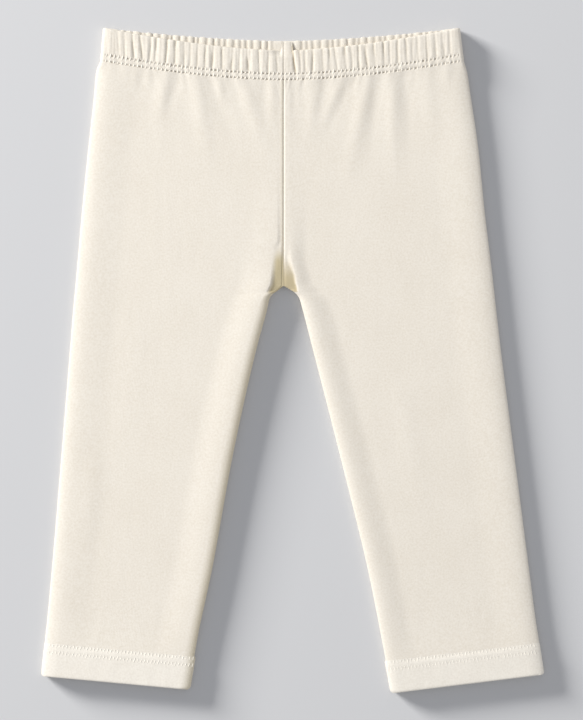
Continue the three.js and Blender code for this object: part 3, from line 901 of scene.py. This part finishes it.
    def sew(self, finish: Finish, name: str) -> Object:
        """Makes the rows of stitches on the front and the back, each one a short thread."""
        mesh = bmesh.new()
        for row in self.stitch_rows:
            for k in range(self.stitches):
                for stretch in (Stretch.MIDDLE, Stretch.UNDER):
                    self.add_stitch(mesh, stretch, (k + 0.5) / self.stitches, row)
        piece = finish_mesh(mesh, name, finish.material())
        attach(piece, "root")
        return piece

    def add_stitch(self, mesh: Mesh, stretch: Stretch, share: float, row: float) -> None:
        """Adds the stitch that crosses a row at a share of the way along it."""
        off = uneven(share * 31, row, 2.0 * self.pattern.side.sign)
        lean = (self.slant + 0.25 * off) / (self.stitches * self.pitch)
        sides = []
        for way in (-1, 1):
            away = max(0.0, row + way * self.reach * (1 + 0.5 * off))
            at = min(1.0, max(0.0, share + way * lean))
            sides.append(self.point(self.section(away), stretch, at, away, 0.0))
        a, b = sides
        up, lift = (1, 0.2) if stretch is Stretch.MIDDLE else (-1, 1.0)
        along = (b - a).normalized()
        aside = Vector((0, 0, up)).cross(along).normalized()
        axes = Matrix((along, aside, along.cross(aside))).transposed().to_4x4()
        centre = (a + b) / 2 + Vector((0, 0, lift * self.thread))
        radius = self.thread * (1 + 0.5 * off)
        sizes = Matrix.Diagonal(((b - a).length / 2, radius, 0.7 * radius, 1.0))
        place = Matrix.Translation(centre * MM) @ axes @ sizes @ Matrix.Scale(MM, 4)
        bmesh.ops.create_uvsphere(mesh, u_segments=8, v_segments=5, radius=1.0, matrix=place)


@dataclass
class Waistband(TurnedBand):
    """Half of the casing, gathered by the elastic inside it.

    Attributes:
        lobe: The height of a gather.
        fold_in: The depth of the deepest crease below the gathers' feet.
        back_pitch: The distance between the creases of the back, where it shows above the front.
        top_bow: How far the top edge sags from the sides to the seam.
        top_y: Where the top edge is at the seam.
        fullness: How much wider the cloth is than the band that the elastic gathers it to.
    """

    lobe: float = 0.42
    fold_in: float = 0.55
    back_pitch: float = 3.8
    top_bow: float = 1.6
    top_y: float = 174.9
    fullness: float = 1.12

    name = "waistband"
    slot = "jersey_waistband"
    held = "gathered"

    @cached_property
    def ends(self) -> tuple[Section, Section]:
        """Returns the sections at the stitching and at the folded top edge."""
        sewn = self.pattern.section(0.0)
        side_x, side_y = BAND_EDGE[self.pattern.side]
        return sewn, sewn._replace(bow=self.top_bow, side_x=side_x, side_y=side_y,
                                   inner_y=self.top_y)

    def flat(self) -> tuple[float, float]:
        """Returns the cut of what shows, all round this half, before the elastic gathers it."""
        return 2 * self.fullness * self.pattern.span(self.ends[0]), self.depth

    def gather(self, inward: float, up: float, creases: tuple[Crease, ...]) -> float:
        """Returns the height of the gathers at a distance from the centre seam.

        Args:
            inward: That distance.
            up: The share of the way from the stitching to the top.
            creases: The creases, from the seam outwards.
        """
        places, depths = drawn(creases, up)
        index = bisect(places, inward)
        near = zip(places[max(0, index - 2) : index + 2], depths[max(0, index - 2) : index + 2])
        nearest = max(d * hump(inward - at, 0.5 + 0.3 * min(1.0, d)) for at, d in near)
        before, start = (places[index - 1], depths[index - 1]) if index else (0.0, 0.0)
        after, end = self.pattern.span(self.ends[0]) - 2, 0.3
        if index < len(places):
            after, end = places[index], depths[index]
        share = min(1.0, (inward - before) / (after - before))
        sides = lerp(start, end, share)
        bulge = (4 * share * (1 - share)) ** 0.85 if index else 0.0
        lobe = self.lobe * bulge * min(1.0, (after - before) / 4.6) * min(1.0, 0.4 + sides)
        return lobe - self.fold_in * nearest

    @cached_property
    def back_creases(self) -> tuple[Crease, ...]:
        """Returns the creases of the back, unevenly spaced as the elastic leaves them."""
        side = self.pattern.side
        creases, at = [], 6.2 if side is Side.RIGHT else 5.6
        for k in count():
            depth = 1.25 + 0.15 * math.sin(2.3 * k + side.sign) if k else 0.5
            creases.append(Crease(at + 0.5 * math.sin(3.1 * k), at, depth))
            at += self.back_pitch * (1 + 0.24 * math.sin(1.7 * k + 2.0 * side.sign))
            if at >= self.pattern.span(self.ends[1]) - 9:
                return tuple(creases)

    def relief(self, section: Section, inward: float, share: float, away: float) -> float:
        """Returns what the gathers and the stitching add to the front's face."""
        pattern = self.pattern
        up = away / self.depth
        # The stitching holds the gathers down, and they are a little flatter at the top fold
        swell = 0.35 * smooth(away / 2.0) + 0.65 * smooth((away - 3.6) / 3.2)
        swell *= 1 - 0.25 * smooth((up - 0.85) / 0.15)
        side_fade = smooth((pattern.span(self.ends[0]) - inward - 2) / 4)
        total = swell * self.gather(inward, up, CREASES[pattern.side]) * side_fade
        total += 0.2 * swell * uneven(inward / 1.2, 0.9 * up, 3.0 * pattern.side.sign)
        total += pattern.front_relief(section, inward, -away) + 0.6 * pattern.seam_relief(inward)
        # Beside the seam the front reaches past the layers under it, and sags to the back
        sag = self.strip(inward) if pattern.side is Side.LEFT else 1 - smooth(inward / 10)
        total -= 2.0 * sag * smooth((up - 0.75) / 0.2)
        return total + super().relief(section, inward, share, away)

    def strip(self, inward: float) -> float:
        """Returns 1 on the strip beside the seam that reaches up to the back's top, or else 0."""
        side = self.pattern.side
        return 1 - smooth((inward - STRIP[side]) / STRIP_EDGE[side])

    def shades(self, inward: float, away: float, hole: float) -> tuple[float, float]:
        """Returns the painted shade of a point of the front: how dark, and how warm."""
        shade = self.crease_shade(inward, away, False)
        # Painted shade down the seam's groove and the creases, darker in the deeper creases
        line = self.pattern.seam_shade(inward) + 0.6 * shade + 0.8 * shade**2
        return max(hole, line), 0.6 * shade

    def crease_shade(self, inward: float, away: float, is_back: bool) -> float:
        """Returns the painted shade down the creases: how deep in a crease a point that shows is, 0
        to 1.
        """
        up = away / self.depth
        shown = smooth((up - 0.6) / 0.1) if is_back else smooth((away - 3.6) / 3.2)
        places, depths = drawn(self.back_creases if is_back else CREASES[self.pattern.side], up)
        near = max(d * hump(inward - at, 0.6 if d < 1.5 else 0.4) for at, d in zip(places, depths))
        return 0.26 * shown * near

    def edge_wave(self, inward: float, is_back: bool) -> float:
        """Returns how far the folded top edge bulges up over each gather."""
        if is_back:
            return 0.5 * self.gather(inward, 1.0, self.back_creases) - 0.15
        wave = 0.4 * self.gather(inward, 1.0, CREASES[self.pattern.side]) - 0.15
        return wave + 5.0 * self.strip(inward)

    def inside_relief(self, inward: float, away: float, is_back: bool) -> float:
        """Returns the gathers of the back's inside, where it shows above the front."""
        if not is_back:
            return 0.0
        up = away / self.depth
        shown = smooth((up - 0.45) / 0.2)
        swell = self.gather(inward, up, self.back_creases) - self.lobe
        return (0.8 * swell - 0.5 * hump(inward, 0.5)) * shown


@dataclass
class Hem(TurnedBand):
    """A hem: the end of the leg, turned up inside and sewn with two rows.

    Attributes:
        step: How much wider the hem is than the leg at the inner edge, above its stitching.
        side_step: The share of that step at the side.
        corners: How far its lower corners are rounded off, at the side and at the inner edge.
    """

    pitch: float = 1.95
    stitch_rows: tuple[float, float] = (0.9, 5.0)
    per_stitch: int = 4
    thread: float = 0.18
    reach: float = 1.35
    slant: float = 0.25
    groove: float = 0.03
    hole_depth: float = 0.12
    step: float = 0.5
    side_step: float = 0.3
    corners: tuple[float, float] = (0.6, 1.4)

    name = "hem"
    slot = "jersey_hem"
    held = "laid"

    @cached_property
    def ends(self) -> tuple[Section, Section]:
        """Returns the sections at the stitching and at the folded lower edge."""
        sewn = self.pattern.section(float(len(PROFILE) - 1))
        side_x, side_y, inner_x, inner_y = HEM_EDGE[self.pattern.side]
        return sewn, sewn._replace(side_x=side_x, side_y=side_y, inner_x=inner_x, inner_y=inner_y)

    def section(self, away: float) -> Section:
        """Returns the section at a distance from the stitching, stepped out from the leg."""
        section = super().section(away)
        out = self.step * smooth(away / 1.2) * (1 - away / self.depth)
        corner = max(0.0, 1 - (self.depth - away) / 2.0) ** 2
        side = (out * self.side_step - self.corners[0] * corner) * self.pattern.side.sign
        inner = (out - self.corners[1] * corner) * self.pattern.side.sign
        return section._replace(side_x=section.side_x + side, inner_x=section.inner_x - inner)

    def flat(self) -> tuple[float, float]:
        """Returns the cut of what shows, all round the leg."""
        return 2.0 * self.pattern.span(self.ends[0]), self.depth

    def relief(self, section: Section, inward: float, share: float, away: float) -> float:
        """Returns what the stitching adds to the front's face."""
        off = 0.10 * uneven(inward / 7, away / 9, 4.0 * self.pattern.side.sign)
        return off + super().relief(section, inward, share, away)

    def face(self, section: Section, inward: float, way: float, away: float,
             is_back: bool) -> float:
        """Returns the height of the outer face, which is rounded off at the inseam."""
        radius, drop = section.edge / 2, 0.0
        if inward < radius:
            drop = radius - math.sqrt(max(0.0, radius**2 - (radius - inward) ** 2))
            drop = min(drop, radius - SEAM_GAP / 2)
        if is_back:
            return drop
        height = self.pattern.front_height(section, inward, radius)
        height += self.relief(section, inward, way, away)
        return height - drop * (1 - section.inner_round)


def srgb(code: str) -> tuple[float, float, float, float]:
    """Returns a hex colour as linear values with an alpha of 1."""
    values = [int(code[i : i + 2], 16) / 255 for i in (1, 3, 5)]
    linear = [v / 12.92 if v <= 0.04045 else ((v + 0.055) / 1.055) ** 2.4 for v in values]
    return (*linear, 1.0)


def add_node(tree: bpy.types.NodeTree, kind: str, settings: dict[str, object] | None = None,
             inputs: dict[str | int, object] | None = None) -> bpy.types.Node:
    """Adds a node with its settings, and gives each input a value or a link.

    Args:
        tree: The node tree.
        kind: The node's type.
        settings: Its own settings by name.
        inputs: A value, or the output socket to link, for each input.

    Returns:
        The new node.
    """
    new = tree.nodes.new(kind)
    for key, value in (settings or {}).items():
        setattr(new, key, value)
    for key, value in (inputs or {}).items():
        if isinstance(value, bpy.types.NodeSocket):
            tree.links.new(value, new.inputs[key])
        else:
            new.inputs[key].default_value = value
    return new


@dataclass(frozen=True)
class Finish:
    """What a piece is made of.

    Attributes:
        name: What the material really is.
        colour: Its colour, as an sRGB hex value.
        roughness: How matt it is.
    """

    name: str
    colour: str
    roughness: float

    def material(self) -> Material:
        """Returns the material, which is made the first time."""
        known = bpy.data.materials.get(self.name)
        if known:
            return known
        material = bpy.data.materials.new(self.name)
        material.use_nodes = True
        self.dress(material.node_tree, material.node_tree.nodes["Principled BSDF"])
        return material

    def dress(self, tree: bpy.types.NodeTree, shader: bpy.types.Node) -> None:
        """Sets the shader's sockets."""
        shader.inputs["Base Color"].default_value = srgb(self.colour)
        shader.inputs["Roughness"].default_value = self.roughness


@dataclass(frozen=True)
class BrushedJersey(Finish):
    """Cotton and elastane jersey, knitted and then brushed.

    The brushing raises a short nap over the knit, so the face is matt with a soft glow at a
    grazing angle, and the wales only just show.

    Attributes:
        shade: The darker colour in the hollows of the nap.
        wale: The distance between wales, in millimetres. Real ones are about 0.6 mm apart, which
            is finer than the render shows, so they are drawn a little coarser.
        nap: The size of the tufts of the nap, in millimetres.
        sheen: The strength of the glow.
        deep: The warm painted shade down in the notch above the crotch, where light that has been
        through the cloth, and from one fold on to the next, is all that gets in. It is also painted
        in the creases, beside the seam and on the inner edge that faces away from the light.
        hole: The dark painted shade down a needle hole, the seam's groove, a crease and the notch.
        glow: The colour of the nap's glow.
    """

    shade: str = "#DDD5C7"
    wale: float = 0.9
    nap: float = 1.1
    sheen: float = 0.25
    deep: str = "#BAAA7A"
    hole: str = "#7B6D58"
    glow: str = "#FFF8EC"

    def dress(self, tree: bpy.types.NodeTree, shader: bpy.types.Node) -> None:
        """Builds the knit, the nap and the slight unevenness of the dye."""
        cloth = add_node(tree, "ShaderNodeUVMap", {"uv_map": "cloth"}).outputs["UV"]
        place = add_node(tree, "ShaderNodeTexCoord").outputs["Object"]
        nap = add_node(tree, "ShaderNodeTexNoise", None, {
            "Vector": place, "Scale": 1 / (self.nap * MM), "Detail": 3.0, "Roughness": 0.6})
        cloud = add_node(tree, "ShaderNodeTexNoise", None, {
            "Vector": place, "Scale": 1 / (24 * MM), "Detail": 2.0, "Roughness": 0.5})
        kind = {"bands_direction": "X", "wave_profile": "SIN"}
        wales = add_node(tree, "ShaderNodeTexWave", kind, {
            "Vector": cloth, "Scale": 1 / (self.wale * MM * WAVE), "Distortion": 0.6,
            "Detail": 1.0, "Detail Scale": 2.0})
        mixed = 0.0
        for part, weight in ((nap, 0.80), (cloud, 0.20)):
            mixed = add_node(tree, "ShaderNodeMath", {"operation": "MULTIPLY_ADD"}, {
                0: part.outputs["Fac"], 1: weight, 2: mixed}).outputs[0]
        ramp = add_node(tree, "ShaderNodeValToRGB", None, {"Fac": mixed})
        ends = ((0.25, self.shade), (0.62, self.colour))
        for element, (position, colour) in zip(ramp.color_ramp.elements, ends):
            element.position, element.color = position, srgb(colour)
        shaded = ramp.outputs["Color"]
        # Painted shade: the cloth's colour goes towards the dark and the warm shade by each
        # attribute's amount
        for name, colour in (("painted_recess_shade", self.hole), ("warm_shade", self.deep)):
            depth = add_node(tree, "ShaderNodeAttribute", {"attribute_name": name}).outputs["Fac"]
            shaded = add_node(tree, "ShaderNodeMix", {"data_type": "RGBA"}, {
                "Factor": depth, 6: shaded, 7: srgb(colour)}).outputs[2]
        tree.links.new(shaded, shader.inputs["Base Color"])
        relief = add_node(tree, "ShaderNodeMath", {"operation": "MULTIPLY_ADD"}, {
            0: wales.outputs["Fac"], 1: 0.25, 2: nap.outputs["Fac"]})
        bump = add_node(tree, "ShaderNodeBump", None, {
            "Height": relief.outputs[0], "Strength": 0.35, "Distance": 0.12 * MM})
        tree.links.new(bump.outputs["Normal"], shader.inputs["Normal"])
        sockets = {"Roughness": self.roughness, "Specular IOR Level": 0.25,
                   "Sheen Weight": self.sheen, "Sheen Roughness": 0.5,
                   "Sheen Tint": srgb(self.glow)}
        for socket, value in sockets.items():
            shader.inputs[socket].default_value = value


@dataclass(frozen=True)
class SpunThread(Finish):
    """Spun polyester sewing thread, dyed to match: a little brighter than the cloth."""

    def dress(self, tree: bpy.types.NodeTree, shader: bpy.types.Node) -> None:
        """Builds the twist of the plies as a fine slanted ripple."""
        place = add_node(tree, "ShaderNodeTexCoord").outputs["Object"]
        plies = add_node(tree, "ShaderNodeTexWave", {"bands_direction": "DIAGONAL"}, {
            "Vector": place, "Scale": 1 / (0.4 * MM * WAVE), "Distortion": 1.0})
        bump = add_node(tree, "ShaderNodeBump", None, {
            "Height": plies.outputs["Fac"], "Strength": 0.4, "Distance": 0.05 * MM})
        tree.links.new(bump.outputs["Normal"], shader.inputs["Normal"])
        super().dress(tree, shader)


@dataclass(frozen=True)
class SoftBox:
    """A large soft light.

    Attributes:
        name: What it is for.
        power: Its strength in watts.
        elevation: Its angle above the floor, in degrees.
        size: Its width and height in metres.
        azimuth: Its direction in plan, in degrees from +X.
        distance: Its distance from the garment, in metres.
    """

    name: str
    power: float
    elevation: float
    size: tuple[float, float]
    azimuth: float
    distance: float

    def build(self, lit: Iterable[Object]) -> None:
        """Adds the light, which lights the given objects and is shaded by all of them."""
        light = bpy.data.lights.new(self.name, "AREA")
        light.shape = "RECTANGLE"
        light.size, light.size_y = self.size
        light.energy = self.power
        light.color = srgb("#FFFDFA")[:3]
        box = bpy.data.objects.new(self.name, light)
        up, round_ = math.radians(self.elevation), math.radians(self.azimuth)
        flat = math.cos(up)
        way = Vector((flat * math.cos(round_), flat * math.sin(round_), math.sin(up)))
        box.location = way * self.distance
        box.rotation_euler = way.to_track_quat("Z", "Y").to_euler()
        bpy.context.scene.collection.objects.link(box)
        receivers = bpy.data.collections.new(f"{self.name} lights these")
        for piece in lit:
            receivers.objects.link(piece)
        box.light_linking.receiver_collection = receivers


@dataclass
class Studio:
    """The floor, the soft light and the camera, with the photograph's framing.

    The photograph has long soft shadows on the floor, as from a low light at the upper left, but
    even light on the cloth, as from a higher one. So the floor and the cloth have a soft box each.
    A white card at the right keeps the cloth's far edges from going dark.

    Attributes:
        view_height: The height of the framed area, in millimetres.
        centre: The middle of the frame on the floor.
        camera_height: The camera's height above the garment.
        fill: The strength of the light from all round.
    """

    view_height: float = 406.8
    centre: tuple[float, float] = (-0.7, 0.3)
    camera_height: float = 1500.0
    fill: float = 0.50
    floor: Finish = Finish("matt_painted_board", "#CFD0D2", 0.7)
    on_floor: SoftBox = SoftBox("floor box", 697.0, 9.2, (1.5, 0.7), azimuth=147.0, distance=4.5)
    on_cloth: SoftBox = SoftBox("cloth box", 104.0, 30.0, (1.3, 1.0), azimuth=158.0, distance=3.0)
    card: SoftBox = SoftBox("white card", 12.0, 14.0, (1.2, 0.5), azimuth=-22.0, distance=3.0)

    def build(self) -> None:
        """Makes the floor, the lights and the camera."""
        pieces = [piece for piece in bpy.context.scene.objects if piece.type == "MESH"]
        mesh = bmesh.new()
        bmesh.ops.create_grid(mesh, x_segments=1, y_segments=1, size=2.0)
        floor = finish_mesh(mesh, "floor", self.floor.material())
        self.on_floor.build([floor])
        self.on_cloth.build(pieces)
        self.card.build(pieces)
        self.add_fill()
        self.add_camera()

    def add_fill(self) -> None:
        """Sets the even light from all round."""
        world = bpy.data.worlds.new("studio")
        world.use_nodes = True
        background = world.node_tree.nodes["Background"]
        background.inputs["Color"].default_value = srgb("#FAFBFF")
        background.inputs["Strength"].default_value = self.fill
        bpy.context.scene.world = world

    def add_camera(self) -> None:
        """Adds the camera, which looks straight down with the waist at the top of the frame."""
        data = bpy.data.cameras.new("camera")
        data.sensor_width = 36.0
        data.lens = data.sensor_width * self.camera_height / self.view_height
        data.clip_start, data.clip_end = 0.05, 20.0
        camera = bpy.data.objects.new("camera", data)
        camera.location = (self.centre[0] * MM, self.centre[1] * MM, self.camera_height * MM)
        bpy.context.scene.collection.objects.link(camera)
        bpy.context.scene.camera = camera
        bpy.context.scene.view_settings.view_transform = "Standard"


def main() -> None:
    """Builds the leggings piece by piece, and then the studio round them."""
    logging.basicConfig(level=logging.INFO, format="%(name)s: %(message)s")
    jersey = BrushedJersey("cotton_elastane_jersey_brushed", "#E9E3D8", 0.92)
    doubled = BrushedJersey("cotton_elastane_jersey_doubled", "#EEE9DF", 0.92, shade="#E2DCD1")
    thread = SpunThread("spun_polyester_thread", "#FBF7EE", 0.6)
    for side, (lobe, fold_in) in ((Side.RIGHT, (0.50, 0.42)), (Side.LEFT, (0.40, 0.34))):
        pattern = Pattern(side)
        band = Waistband(pattern, slant=0.25 * side.sign, lobe=lobe, fold_in=fold_in)
        built = (Leg(pattern).build(jersey), band.build(jersey, thread),
                 Hem(pattern).build(doubled, thread))
        for piece in built:
            LOG.info("%s: %d faces", piece.name, len(piece.data.polygons))
    Studio().build()


if __name__ == "__main__":
    main()
